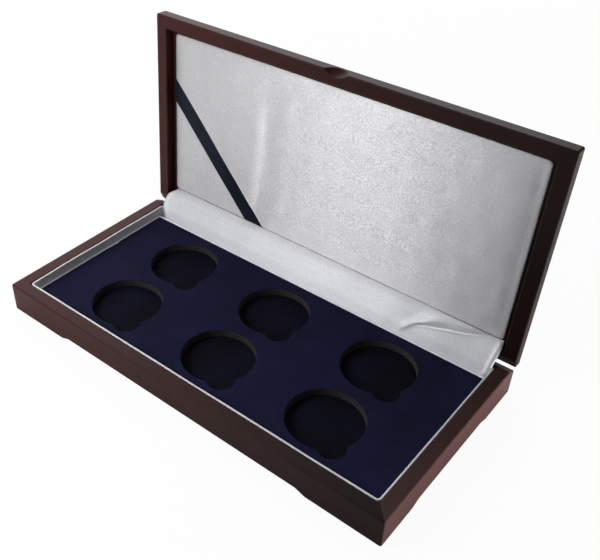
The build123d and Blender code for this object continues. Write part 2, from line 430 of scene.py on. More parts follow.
def linear(code: str) -> tuple[float, float, float, float]:
    """Turns an sRGB hex colour into the linear colour that a shader takes."""
    parts = [int(code[k : k + 2], 16) / 255.0 for k in (0, 2, 4)]
    curved = [p / 12.92 if p <= 0.04045 else ((p + 0.055) / 1.055) ** 2.4 for p in parts]
    return (*curved, 1.0)


def node(
    tree: bpy.types.NodeTree,
    kind: str,
    inputs: dict[str | int, object] | None = None,
    output: int | str = 0,
    **settings: object,
) -> bpy.types.NodeSocket | None:
    """Adds a node, sets it up and joins it to the nodes before it.

    Args:
        tree: the material's or world's nodes.
        kind: the node's type, without the part that all types begin with.
        inputs: for each input, a plain value or another node's output.
        output: which of its outputs is wanted.
        **settings: the node's own properties.

    Returns:
        That output, or None where the node has none.
    """
    made = tree.nodes.new("ShaderNode" + kind)
    for name, value in settings.items():
        setattr(made, name, value)
    for name, value in (inputs or {}).items():
        if isinstance(value, bpy.types.NodeSocket):
            tree.links.new(value, made.inputs[name])
        else:
            made.inputs[name].default_value = value
    return made.outputs[output] if len(made.outputs) else None


def cleared(owner: bpy.types.Material | bpy.types.World) -> bpy.types.NodeTree:
    """The nodes of a material or world, with none among them yet."""
    owner.use_nodes = True
    owner.node_tree.nodes.clear()
    return owner.node_tree


def blank(name: str) -> tuple[bpy.types.Material, bpy.types.NodeTree]:
    """An empty material of that name, and its nodes."""
    material = bpy.data.materials.new(name)
    return material, cleared(material)


class Along(Enum):
    """The way in which a rail's grain runs, as the stretch of its pattern on x, y and z."""

    X = (0.06, 1.0, 1.0)
    Y = (1.0, 0.06, 1.0)
    Z = (1.0, 1.0, 0.06)


# ---- finishes --------------------------------------------------------------------------------------


@dataclass(frozen=True)
class Finish:
    """What every finish shares: its name, and a material with one shader."""

    name: str

    def look(self, tree: bpy.types.NodeTree) -> dict[str, object]:
        """The shader's inputs, which each finish works out for itself."""
        raise NotImplementedError

    def make(self) -> bpy.types.Material:
        """Builds the material."""
        material, tree = blank(self.name)
        shader = node(tree, "BsdfPrincipled", self.look(tree))
        node(tree, "OutputMaterial", {"Surface": shader})
        return material


@dataclass(frozen=True)
class SatinLacquer(Finish):
    """Close-grained hardwood, stained burgundy and sprayed with satin lacquer.

    It gives the eye a dark red-brown with the faintest streaks along each rail, under a soft and low
    shine. Painted shade darkens the colour from left to right, in place of the key light falling off
    across the case.
    """

    along: Along
    stain: str = "42211F"
    # the dark colour serves both the grain's streaks and the painted shade towards the right end
    dark_grain_and_shade: str = "0E0908"
    painted_light_end: float = -190 * MM  # where the painted light is strongest and the colour palest
    # where the painted shade is deepest
    painted_shade_end: float = 150 * MM
    painted_light_share: float = 0.9  # share of the lighter stain there, as painted light
    streaks: float = 0.4
    roughness: float = 0.42
    specular: float = 0.1
    grain_width: float = 1.4 * MM  # real pores are 0.1 mm; drawn coarser so that they show
    cloud_size: float = 60 * MM
    spray_size: float = 2.6 * MM
    spray_depth: float = 0.05 * MM

    def look(self, tree: bpy.types.NodeTree) -> dict[str, object]:
        """The shader's inputs."""
        place = node(tree, "TexCoord", output="Object")
        run = node(tree, "Mapping", {"Vector": place, "Scale": self.along.value})
        grain = {"Vector": run, "Scale": 1.0 / self.grain_width, "Detail": 4.0, "Roughness": 0.6}
        grain = node(tree, "TexNoise", grain)
        cloud = {"Vector": place, "Scale": 1.0 / self.cloud_size, "Detail": 2.0}
        cloud = node(tree, "TexNoise", cloud)
        uneven = node(tree, "Math", {0: grain, 1: cloud}, operation="MULTIPLY")
        # painted shade: the share of the lighter stain falls from the left end to the right one,
        # standing in for the key light's falloff
        painted_falloff = node(
            tree,
            "MapRange",
            {
                "Value": node(tree, "SeparateXYZ", {0: place}),
                "From Min": self.painted_light_end,
                "From Max": self.painted_shade_end,
                "To Min": self.painted_light_share,
                "To Max": 0.0,
            },
        )
        share = {0: uneven, 1: self.streaks, 2: painted_falloff}
        share = node(tree, "Math", share, operation="MULTIPLY_ADD")
        stains = {0: share, 6: linear(self.dark_grain_and_shade), 7: linear(self.stain)}
        spray = {"Vector": place, "Scale": 1.0 / self.spray_size, "Detail": 2.0}
        spray = {"Height": node(tree, "TexNoise", spray), "Strength": 0.2, "Distance": self.spray_depth}
        return {
            "Base Color": node(tree, "Mix", stains, 2, data_type="RGBA"),
            "Roughness": self.roughness,
            "IOR": 1.5,
            "Specular IOR Level": self.specular,
            "Normal": node(tree, "Bump", spray),
        }


@dataclass(frozen=True)
class Satin(Finish):
    """White acetate satin over thin wadding or card.

    It gives the eye a cool white with a wide soft shine and a fine sparkle, where single floats of
    the weave catch the light. Where all the floats run one way the shine is drawn out along them.
    """

    white: str = "DDDCDD"
    shade: str = "C4C3C7"
    float_size: float = 0.8 * MM  # real floats are 0.1 mm; drawn coarser so that they sparkle
    float_depth: float = 0.12 * MM
    cloud_size: float = 14 * MM
    cloud_share: float = 0.15
    colour_limits: tuple[float, float] = (0.48, 0.67)
    mirror_limits: tuple[float, float] = (0.43, 0.57)
    roughness: float = 0.45
    drawn_out: float = 0.0  # how much the shine follows the floats
    mirror: float = 0.0  # share of the light that flat floats throw back as thin metal would
    sparkle: float = 0.0  # how far that share goes up and down from float to float

    def look(self, tree: bpy.types.NodeTree) -> dict[str, object]:
        """The shader's inputs."""
        place = node(tree, "TexCoord", output="Object")
        floats = {"Vector": place, "Scale": 1.0 / self.float_size, "Detail": 2.0, "Roughness": 0.7}
        floats = node(tree, "TexNoise", floats)
        soft = {"Vector": place, "Scale": 1.0 / self.cloud_size, "Detail": 3.0}
        both = {0: node(tree, "TexNoise", soft), 1: self.cloud_share, 2: floats}
        both = node(tree, "Math", both, operation="MULTIPLY_ADD")
        low, high = self.colour_limits
        share = node(tree, "MapRange", {"Value": both, "From Min": low, "From Max": high})
        whites = {0: share, 6: linear(self.shade), 7: linear(self.white)}
        low, high = self.mirror_limits
        mirrored = node(
            tree,
            "MapRange",
            {
                "Value": floats,
                "From Min": low,
                "From Max": high,
                "To Min": max(self.mirror - self.sparkle, 0.0),
                "To Max": self.mirror + self.sparkle,
            },
        )
        relief = {"Height": floats, "Strength": 0.5, "Distance": self.float_depth}
        return {
            "Base Color": node(tree, "Mix", whites, 2, data_type="RGBA"),
            "Roughness": self.roughness,
            "Anisotropic": self.drawn_out,
            "Metallic": mirrored,
            "Sheen Weight": 0.1,
            "Sheen Roughness": 0.4,
            "Normal": node(tree, "Bump", relief),
            "Tangent": node(tree, "Tangent", direction_type="UV_MAP", uv_map=MEASURE),
        }


@dataclass(frozen=True)
class FlockedVelvet(Finish):
    """Navy nylon flock glued to a thin sheet.

    It gives the eye a near-black blue that drinks the light, mottled where the fibres lean, with a
    faint bluish bloom at a low angle.
    """

    pile: str = "15162B"
    leaning: str = "1A1B36"
    fibre_size: float = 0.5 * MM  # real fibres are 0.02 mm; drawn coarser so that they show
    fibre_depth: float = 0.1 * MM
    patch_size: float = 22 * MM
    bloom: float = 0.03
    bloom_colour: str = "5A5AA0"

    def look(self, tree: bpy.types.NodeTree) -> dict[str, object]:
        """The shader's inputs."""
        place = node(tree, "TexCoord", output="Object")
        patch = {"Vector": place, "Scale": 1.0 / self.patch_size, "Detail": 4.0}
        share = {"Value": node(tree, "TexNoise", patch), "From Min": 0.35, "From Max": 0.68}
        share = node(tree, "MapRange", share)
        blues = {0: share, 6: linear(self.pile), 7: linear(self.leaning)}
        fibre = {"Vector": place, "Scale": 1.0 / self.fibre_size, "Detail": 3.0, "Roughness": 0.7}
        fibre = {"Height": node(tree, "TexNoise", fibre), "Strength": 0.6, "Distance": self.fibre_depth}
        return {
            "Base Color": node(tree, "Mix", blues, 2, data_type="RGBA"),
            "Roughness": 0.95,
            "Specular IOR Level": 0.08,
            "Sheen Weight": self.bloom,
            "Sheen Roughness": 0.5,
            "Sheen Tint": linear(self.bloom_colour),
            "Normal": node(tree, "Bump", fibre),
        }


@dataclass(frozen=True)
class CutFoam(Finish):
    """Charcoal polyurethane foam, die-cut.

    It gives the eye a dull dark grey with small open cells along the cut, with painted shade inside
    them.
    """

    grey: str = "363634"
    pore_shade: str = "1A1A19"
    cell_size: float = 0.7 * MM
    cell_depth: float = 0.2 * MM

    def look(self, tree: bpy.types.NodeTree) -> dict[str, object]:
        """The shader's inputs."""
        place = node(tree, "TexCoord", output="Object")
        cells = node(tree, "TexVoronoi", {"Vector": place, "Scale": 1.0 / self.cell_size})
        # painted shade: the grey darkens towards the middle of each cell, where the pore is
        share = node(tree, "MapRange", {"Value": cells, "From Min": 0.1, "From Max": 0.6})
        greys = {0: share, 6: linear(self.pore_shade), 7: linear(self.grey)}
        relief = {"Height": cells, "Strength": 0.7, "Distance": self.cell_depth}
        return {
            "Base Color": node(tree, "Mix", greys, 2, data_type="RGBA"),
            "Roughness": 0.95,
            "Specular IOR Level": 0.2,
            "Normal": node(tree, "Bump", relief),
        }


@dataclass(frozen=True)
class RibbonWeave(Finish):
    """Navy polyester satin ribbon.

    It gives the eye a near-black blue with fine cross ribs and a narrow cool shine along folds.
    """

    navy: str = "0B0E19"
    thread: str = "141A2B"
    # The wave has 20 / tau bands to a unit, so this puts the ribs 0.38 mm apart. Real ones are
    # 0.2 mm apart; they are drawn coarser so that they show.
    rib_scale: float = 0.5 / (0.6 * MM)
    rib_depth: float = 0.06 * MM

    def look(self, tree: bpy.types.NodeTree) -> dict[str, object]:
        """The shader's inputs."""
        flat = node(tree, "UVMap", uv_map=MEASURE)
        ribs = {"Vector": flat, "Scale": self.rib_scale, "Distortion": 0.4}
        ribs = node(tree, "TexWave", ribs, "Fac", bands_direction="X")
        navies = {0: ribs, 6: linear(self.navy), 7: linear(self.thread)}
        relief = {"Height": ribs, "Strength": 0.4, "Distance": self.rib_depth}
        return {
            "Base Color": node(tree, "Mix", navies, 2, data_type="RGBA"),
            "Roughness": 0.45,
            "Specular IOR Level": 0.12,
            "Normal": node(tree, "Bump", relief),
        }


@dataclass(frozen=True)
class GreyCard(Finish):
    """Pressed grey-white card.

    It gives the eye a dull warm grey with short fibres and specks.
    """

    pale: str = "C9C3B8"
    speck: str = "9C9488"
    fibre_size: float = 1.1 * MM
    fibre_depth: float = 0.05 * MM

    def look(self, tree: bpy.types.NodeTree) -> dict[str, object]:
        """The shader's inputs."""
        place = node(tree, "TexCoord", output="Object")
        fibre = {"Vector": place, "Scale": 1.0 / self.fibre_size, "Detail": 5.0, "Roughness": 0.7}
        fibre = node(tree, "TexNoise", fibre)
        share = node(tree, "MapRange", {"Value": fibre, "From Min": 0.35, "From Max": 0.6})
        greys = {0: share, 6: linear(self.speck), 7: linear(self.pale)}
        relief = {"Height": fibre, "Strength": 0.3, "Distance": self.fibre_depth}
        return {
            "Base Color": node(tree, "Mix", greys, 2, data_type="RGBA"),
            "Roughness": 0.85,
            "Normal": node(tree, "Bump", relief),
        }


@dataclass(frozen=True)
class BrushedBrass(Finish):
    """Rolled and brushed cabinet brass.

    It gives the eye a warm yellow metal with fine scratches along the hinge.
    """

    bright: str = "D9B871"
    dull: str = "A98A4C"
    scratch_width: float = 0.25 * MM
    scratch_depth: float = 0.02 * MM

    def look(self, tree: bpy.types.NodeTree) -> dict[str, object]:
        """The shader's inputs."""
        place = node(tree, "TexCoord", output="Object")
        run = node(tree, "Mapping", {"Vector": place, "Scale": Along.X.value})
        scratch = {"Vector": run, "Scale": 1.0 / self.scratch_width, "Detail": 3.0}
        scratch = node(tree, "TexNoise", scratch)
        yellows = {0: scratch, 6: linear(self.dull), 7: linear(self.bright)}
        relief = {"Height": scratch, "Strength": 0.2, "Distance": self.scratch_depth}
        return {
            "Base Color": node(tree, "Mix", yellows, 2, data_type="RGBA"),
            "Metallic": 1.0,
            "Roughness": node(tree, "MapRange", {"Value": scratch, "To Min": 0.25, "To Max": 0.4}),
            "Normal": node(tree, "Bump", relief),
        }


def dress_node(name: str, material: bpy.types.Material) -> None:
    """Gives a CAD node one material in every slot it has."""
    slots = frame["nodes"][name].data.materials
    for k in range(len(slots)):
        slots[k] = material
    if not len(slots):
        slots.append(material)


# ---- the wooden case -------------------------------------------------------------------------------


@dataclass
class Woodwork:
    """The base and lid frames and their panels, which keep the shape of the CAD."""

    rails: dict[Along, tuple[str, ...]] = field(
        default_factory=lambda: {
            Along.X: (
                "base_front_rail",
                "base_rear_rail",
                "base_floor_panel",
                "lid_front_rail",
                "lid_rear_rail",
                "lid_top_panel",
            ),
            Along.Y: ("base_left_rail",),
            Along.Z: ("lid_left_rail", "lid_right_rail"),
        }
    )
    # painted light: the base's right rail gets a paler, less red copy of the lacquer, with its painted
    # shade reaching further, so that its outer faces look lit from the right
    lit_rail: str = "base_right_rail"
    lit_rail_stain: str = "573C3A"
    lit_rail_shade_end: float = 330 * MM

    def dress(self) -> None:
        """Lacquers every rail with the grain along it."""
        for along, names in self.rails.items():
            finish = SatinLacquer(f"satin_lacquer_{along.name.lower()}", along).make()
            for name in names:
                dress_node(name, finish)
        # the painted-light copy of the lacquer for the base's right rail
        paler = SatinLacquer(
            "satin_lacquer_lit_rail", Along.Y, stain=self.lit_rail_stain, painted_shade_end=self.lit_rail_shade_end
        )
        dress_node(self.lit_rail, paler.make())


@dataclass
class Fittings:
    """The hinges and the hidden boards, which keep the shape of the CAD."""

    sides: tuple[str, ...] = ("left", "right")
    hinge_parts: tuple[str, ...] = ("base_leaf", "lid_leaf", "pin")
    boards: tuple[str, ...] = ("insert_backing_board", "lid_liner_card")

    def dress(self) -> None:
        """Gives the hinges brass and the boards card."""
        brass = BrushedBrass("brushed_brass").make()
        card = GreyCard("grey_card").make()
        for side in self.sides:
            for part in self.hinge_parts:
                dress_node(f"hinge_{side}_{part}", brass)
        for name in self.boards:
            dress_node(name, card)


# ---- pieces ----------------------------------------------------------------------------------------


def travelled(points: Array) -> Array:
    """How far along a line each of its points lies."""
    steps = np.linalg.norm(np.diff(points, axis=0), axis=1)
    return np.concatenate([[0.0], np.cumsum(steps)])


def lifted(points: Array, level: float) -> Array:
    """Flat points, with one z for all of them."""
    return np.concatenate([points, np.full((len(points), 1), level)], axis=1)


def border(grid: Array) -> Array:
    """The points round the edge of a grid, one after the other."""
    return np.concatenate([grid[:-1, 0], grid[-1, :-1], grid[:0:-1, -1], grid[0, :0:-1]])


def squared_loop(
    count: int, width: float, low: float, high: float, power: float
) -> tuple[Array, Array]:
    """A tall closed section, drawn as a loop and squared off towards a rectangle.

    It is half the width times the cosine of a turn, to the power of a half, by half the height times
    its sine, to the given power; both keep their signs.

    Args:
        count: points round the loop.
        width: width of the section.
        low: z of its lower end.
        high: z of its upper end.
        power: of the sine; the smaller, the squarer.

    Returns:
        How far out and how high each of its points lies.
    """
    turn = np.linspace(0.0, math.tau, count, endpoint=False)
    cosine, sine = np.cos(turn), np.sin(turn)
    height = high - low
    across = np.sign(cosine) * np.abs(cosine) ** 0.5 * width / 2
    return across, low + height / 2 + np.sign(sine) * np.abs(sine) ** power * height / 2


def carried(line: Array, outward: Array, shift: Array, up: Array) -> Array:
    """Carries a section along a line: each point goes outwards by its shift and up to its z.

    Args:
        line: x and y of the line's points.
        outward: the outward direction at each.
        shift: how far out each of the section's points goes, one row for each point of the line.
        up: their z, in the same rows.

    Returns:
        The grid of points, one section a row.
    """
    flat = [line[:, k : k + 1] + outward[:, k : k + 1] * shift for k in range(2)]
    return np.stack([*flat, up], axis=-1)


# ---- base lining -----------------------------------------------------------------------------------


@dataclass
class WallLiner:
    """The satin-wrapped card band round the inside of the base, turned in behind the cloth."""

    half_x: float = 140.3
    front: float = 9.7
    rear: float = 138.3
    low: float = 6.2
    high: float = 20.75
    thickness: float = 1.2
    bend: float = 2.4
    rear_bend: float = 1.4
    bend_points: int = 9
    return_length: float = 9.0
    fewest_points: int = 8
    spacing: float = 1.5
    section_points: int = 40
    squareness: float = 0.12
    top_roll: float = 0.25  # how much wider the wrapped top is than the card
    roll_limits: tuple[float, float] = (2.2, 0.9)  # below the top
    top_wave: Ripple = Ripple(11, 46.0, 0.10)
    side_wave: Ripple = Ripple(12, 34.0, 0.05)
    lift_limits: tuple[float, float] = (14.0, 20.0)  # z at which each wave begins and is full
    sway_limits: tuple[float, float] = (12.0, 18.0)
    most_sway: float = 0.06

    def path(self) -> tuple[Array, Array]:
        """Follows the walls from the rear left corner round the front to the rear right.

        Returns:
            Points of the band's middle line, and at each the direction of the section's outer side.
        """
        turned_in = self.half_x - self.rear_bend - self.return_length
        stops = np.array(
            [
                (-turned_in, self.rear),
                (-self.half_x, self.rear),
                (-self.half_x, self.front),
                (self.half_x, self.front),
                (self.half_x, self.rear),
                (turned_in, self.rear),
            ]
        )
        radii = (0.0, self.rear_bend, self.bend, self.bend, self.rear_bend, 0.0)
        ways = np.diff(stops, axis=0)
        ways /= np.linalg.norm(ways, axis=1, keepdims=True)
        t = np.linspace(0.0, 1.0, self.fewest_points, endpoint=False)[:, None]
        points = [stops[0] + t * (stops[1] - ways[0] * radii[1] - stops[0])]
        # on this first straight, hidden by the cloth, the section's outer side faces inwards
        outward = [np.tile([-ways[0][1], ways[0][0]], (len(t), 1))]
        angle = np.linspace(0.0, math.pi / 2, self.bend_points)[:, None]
        last = len(stops) - 2
        for k in range(1, last + 1):
            way_in, way_out, radius = ways[k - 1], ways[k], radii[k]
            centre = stops[k] - way_in * radius + way_out * radius
            arc = centre - way_out * radius * np.cos(angle) + way_in * radius * np.sin(angle)
            stop = stops[k + 1] - way_out * radii[k + 1]
            length = float(np.linalg.norm(stop - arc[-1]))
            count = max(self.fewest_points, round(length / self.spacing))
            t = np.linspace(0.0, 1.0, count + 1)[1 : (None if k == last else -1), None]
            points += [arc, arc[-1] + t * (stop - arc[-1])]
            outward += [(arc - centre) / radius, np.tile((arc[-1] - centre) / radius, (len(t), 1))]
        return np.concatenate(points), np.concatenate(outward)

    def build(self) -> bpy.types.Object:
        """Carries the band's section along the walls, wider just below the rolled top."""
        line, outward = self.path()
        along = travelled(line)
        across, up = squared_loop(
            self.section_points, self.thickness, self.low, self.high, self.squareness
        )
        roll = ease(up, self.high - self.roll_limits[0], self.high - self.roll_limits[1])
        across = across - (across < 0) * roll * self.top_roll
        flat = np.zeros_like(along)
        lift = self.top_wave.at(along, flat)[:, None] * ease(up, *self.lift_limits)
        sway = self.side_wave.at(along, flat)[:, None] * ease(up, *self.sway_limits)
        ring = carried(line, outward, across + np.minimum(sway, self.most_sway), up + lift)
        shell = Shell()
        shell.add(CASE.base(ring), wrap_columns=True)
        shell.cap(CASE.base(ring[0]))
        shell.cap(CASE.base(ring[-1]), flip=True)
        piece = shell.piece("liner_band")
        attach(piece, "base")
        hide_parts("wall_liner")
        return piece


# ---- insert ----------------------------------------------------------------------------------------


@dataclass
class Insert:
    """The flocked foam insert with its six round pockets, each with a thumb notch."""

    half_x: float = 138.5
    front: float = 11.5
    rear: float = 133.3
    corner: float = 1.6
    middle_y: float = 72.8
    pitch_x: float = 82.5
    pitch_y: float = 57.0
    pocket_radius: float = 24.0
    notch_radius: float = 9.0
    notch_reach: float = 21.5
    notch_angle: float = -45.0
    floor_z: float = 7.8
    foam_z: float = 13.3
    top_z: float = 13.8
    edge_points_x: int = 84
    edge_points_y: int = 60
    wall_points: int = 9
    fan_points: int = 7
    lip_points: int = 6
    outward_steps: int = 14
    crowding: float = 1.5  # the power that brings the steps closer together beside a cut
    sag_width: float = 2.5
    floor_points: tuple[int, int] = (160, 76)
    floor_thickness: float = 0.6
    floor_sink: float = 0.06
    flock_roll: float = 0.45
    flock_sag: float = 0.12
    foam_roll: float = 0.02
    foam_rough: float = 0.09
    band_points: int = 28
    band_squareness: float = 0.14
    band_out: float = 1.1
    band_width: float = 1.35
    band_proud: float = 0.25
    band_spacing: float = 0.8
    fray_y: float = 87.3
    fray_reach: float = 1.1

    def lobe(self, angle: Array) -> Array:
        """Distance from a pocket's middle to its edge: the circle, or the notch where it is further.

        Along a direction the notch circle ends at c cos d plus the root of (c cos d) squared less c
        squared plus r squared, with c its reach, r its radius and d the angle from its direction.

        Args:
            angle: the directions, in radians.

        Returns:
            The distance along each.
        """
        away = self.notch_reach * np.cos(angle - math.radians(self.notch_angle))
        under = away**2 - self.notch_reach**2 + self.notch_radius**2
        notch = np.where(under > 0, away + np.sqrt(np.maximum(under, 0.0)), 0.0)
        return np.maximum(self.pocket_radius, notch)

    def limits(self) -> tuple[Array, Array]:
        """The x and y at which one pocket's patch ends and the next begins."""
        x = np.array([-self.half_x + self.corner, -0.5 * self.pitch_x])
        y = np.array([self.front + self.corner, self.middle_y, self.rear - self.corner])
        return np.concatenate([x, -x[::-1]]), y

    def side(self, here: Array, after: Array) -> Array:
        """Even points from one stop to the next, as many on every side that runs the same way."""
        along_x = abs(after[0] - here[0]) > abs(after[1] - here[1])
        count = self.edge_points_x if along_x else self.edge_points_y
        return here + np.linspace(0.0, 1.0, count + 1)[:-1, None] * (after - here)

    def patch_edge(self, x: Array, y: Array) -> Array:
        """Walks round a rectangle anticlockwise, with the same points on a shared side."""
        corners = np.array([(x[0], y[0]), (x[1], y[0]), (x[1], y[1]), (x[0], y[1])])
        return np.concatenate([self.side(corners[k], corners[(k + 1) % 4]) for k in range(4)])

    def outer_edge(self) -> tuple[Array, Array]:
        """Walks round all the patches, with a fan of directions at each corner.

        Returns:
            The points and the outward direction at each, one row each.
        """
        x, y = self.limits()
        stops = [(x[k], y[0]) for k in range(3)] + [(x[3], y[k]) for k in range(2)]
        stops += [(x[3 - k], y[2]) for k in range(3)] + [(x[0], y[2 - k]) for k in range(2)]
        stops = np.array(stops)
        fans = {0: 180.0, 3: -90.0, 5: 0.0, 8: 90.0}  # where each corner's fan begins, in degrees
        points, outward = [], []
        for k, here in enumerate(stops):
            after = stops[(k + 1) % len(stops)]
            way = (after - here) / np.linalg.norm(after - here)
            if k in fans:
                angle = np.radians(fans[k] + np.linspace(0.0, 90.0, self.fan_points + 1)[:-1])
                points.append(np.tile(here, (self.fan_points, 1)))
                outward.append(np.stack([np.cos(angle), np.sin(angle)], 1))
            points.append(self.side(here, after))
            outward.append(np.tile([way[1], -way[0]], (len(points[-1]), 1)))
        return np.concatenate(points), np.concatenate(outward)

    def layer(self, low: float, high: float, roll: float, sag: float, rough: float) -> Shell:
        """Builds a slab with the six cut-outs.

        Each pocket's patch is a grid of a walk round it and steps outwards: up the cut wall, over a
        rolled lip (a quarter turn of the given radius) and across to the patch's straight edge.

        Args:
            low: z of the underside.
            high: z of the top.
            roll: radius of the lip and of the outer edge.
            sag: how far the top sinks beside a cut.
            rough: height of the unevenness of the cut walls.

        Returns:
            The slab's surface.
        """
        shell = Shell()
        x, y = self.limits()
        uneven, soft = Ripple(21, 2.6, rough), Ripple(22, 38.0, 0.05)
        steps = np.linspace(0.0, 1.0, self.outward_steps)[1:] ** self.crowding
        quarter = np.linspace(0.0, math.pi / 2, self.lip_points)
        wall_z = np.linspace(low, high - roll, self.wall_points)
        bulk = np.sin(np.linspace(0.0, math.pi, self.wall_points))[:, None]
        for row, column in product(range(2), range(3)):
            edge = self.patch_edge(x[column : column + 2], y[row : row + 2])
            centre = np.array([(column - 1) * self.pitch_x, self.middle_y + (row - 0.5) * self.pitch_y])
            angle = np.arctan2(edge[:, 1] - centre[1], edge[:, 0] - centre[0])
            reach = self.lobe(angle)
            way = np.stack([np.cos(angle), np.sin(angle)], 1)
            girth, upward = np.meshgrid(angle * self.pocket_radius, wall_z)
            # far enough apart that no two pockets have the same unevenness
            wall = uneven.at(girth + 300.0 * column, upward * 0.6 + 90.0 * row) * bulk
            rows = [
                lifted(centre + way * (reach + out)[:, None], z) for out, z in zip(wall, wall_z)
            ]
            for bend in quarter[1:]:
                flat = centre + way * (reach + roll * (1 - math.cos(bend)))[:, None]
                rows.append(lifted(flat, high - roll + roll * math.sin(bend)))
            lip = rows[-1][:, :2]
            rows += [lifted(lip + share * (edge - lip), high) for share in steps]
            grid = np.stack(rows)
            upper = grid[self.wall_points :]
            rim = ease(self.half_x - np.abs(upper[..., 0]), 1.0, 8.0)
            rim = rim * ease(upper[..., 1] - self.front, 1.0, 8.0)
            rim = rim * ease(self.rear - upper[..., 1], 1.0, 8.0)
            away = np.linalg.norm(upper[..., :2] - centre, axis=-1) - reach
            upper[..., 2] += soft.at(upper[..., 0], upper[..., 1]) * rim * (sag > 0)
            upper[..., 2] -= sag * bell(away, 0.0, self.sag_width) * (away > 0)
            shell.add(CASE.base(grid), wrap_columns=True)
            under = np.stack([grid[0], lifted(edge, low)])
            shell.add(CASE.base(under), wrap_columns=True, flip=True)
        points, outward = self.outer_edge()
        out = [[0.0], self.corner - roll + roll * np.sin(quarter), [self.corner, 0.0]]
        out = np.concatenate(out)[:, None, None]
        level = np.concatenate([[high], high - roll + roll * np.cos(quarter), [low, low]])
        level = np.broadcast_to(level[:, None, None], (len(level), len(points), 1))
        skirt = np.concatenate([points[None] + outward[None] * out, level], axis=-1)
        shell.add(CASE.base(skirt), wrap_columns=True)
        return shell

    def flock_top(self) -> bpy.types.Object:
        """The flocked sheet over the foam, with its edges rolled into the pockets."""
        shell = self.layer(self.foam_z, self.top_z, self.flock_roll, self.flock_sag, 0.0)
        piece = shell.piece("flock_top")
        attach(piece, "base")
        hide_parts("insert_top_velvet")
        return piece

    def foam(self) -> bpy.types.Object:
        """The foam block, whose cut walls show in the pockets."""
        shell = self.layer(self.floor_z, self.foam_z, self.foam_roll, 0.0, self.foam_rough)
        piece = shell.piece("foam_block")
        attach(piece, "base")
        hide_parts("insert_foam")
        return piece

    def pocket_floor(self) -> bpy.types.Object:
        """The flocked sheet under the foam, with a slight unevenness where it shows."""
        x = np.linspace(-self.half_x, self.half_x, self.floor_points[0])
        y = np.linspace(self.front, self.rear, self.floor_points[1])
        x, y = np.meshgrid(x, y, indexing="ij")
        level = self.floor_z - self.floor_sink + Ripple(31, 17.0, 0.03).at(x, y)
        top = np.stack([x, y, level], axis=-1)
        under = np.stack([x, y, np.full_like(x, self.floor_z - self.floor_thickness)], axis=-1)
        shell = Shell()
        shell.add(CASE.base(top))
        for walk in (
            lambda grid: grid[:, 0],
            lambda grid: grid[-1],
            lambda grid: grid[::-1, -1],
            lambda grid: grid[0, ::-1],
        ):
            shell.add(CASE.base(np.stack([walk(top), walk(under)])))
        shell.cap(CASE.base(border(under)))
        piece = shell.piece("pocket_floor")
        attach(piece, "base")
        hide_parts("insert_pocket_velvet")
        return piece

    def edge_band(self) -> bpy.types.Object:
        """The white band round the insert, with a frayed place on its left side.

        At the fray the upper part of its section leans over the flock along a bell curve.
        """
        inset = self.band_out - self.band_width / 2
        line, outward = rounded_path(
            self.half_x + inset, self.front - inset, self.rear + inset, self.corner, self.band_spacing
        )
        across, up = squared_loop(
            self.band_points,
            self.band_width,
            self.floor_z,
            self.top_z + self.band_proud,
            self.band_squareness,
        )
        upper = ease(up, self.top_z - 0.6, self.top_z)
        y = line[:, 1]
        fray = bell(y, self.fray_y, 2.0) + 0.45 * bell(y, self.fray_y - 5.5, 2.6)
        fray = (line[:, 0] < -self.half_x + 1.0) * fray
        ragged = Ripple(41, 9.0, 0.06).at(line[:, 0], y)
        shift = across - (fray * self.fray_reach)[:, None] * upper + ragged[:, None] * upper * 0.5
        lift = (np.abs(ragged) + 0.3 * fray)[:, None] * upper
        shell = Shell()
        ring = carried(line, outward, shift, up + lift)
        shell.add(CASE.base(ring), wrap_rows=True, wrap_columns=True)
        piece = shell.piece("edge_band")
        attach(piece, "base")
        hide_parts("insert_edge_band")
        return piece


# ---- lid lining ------------------------------------------------------------------------------------


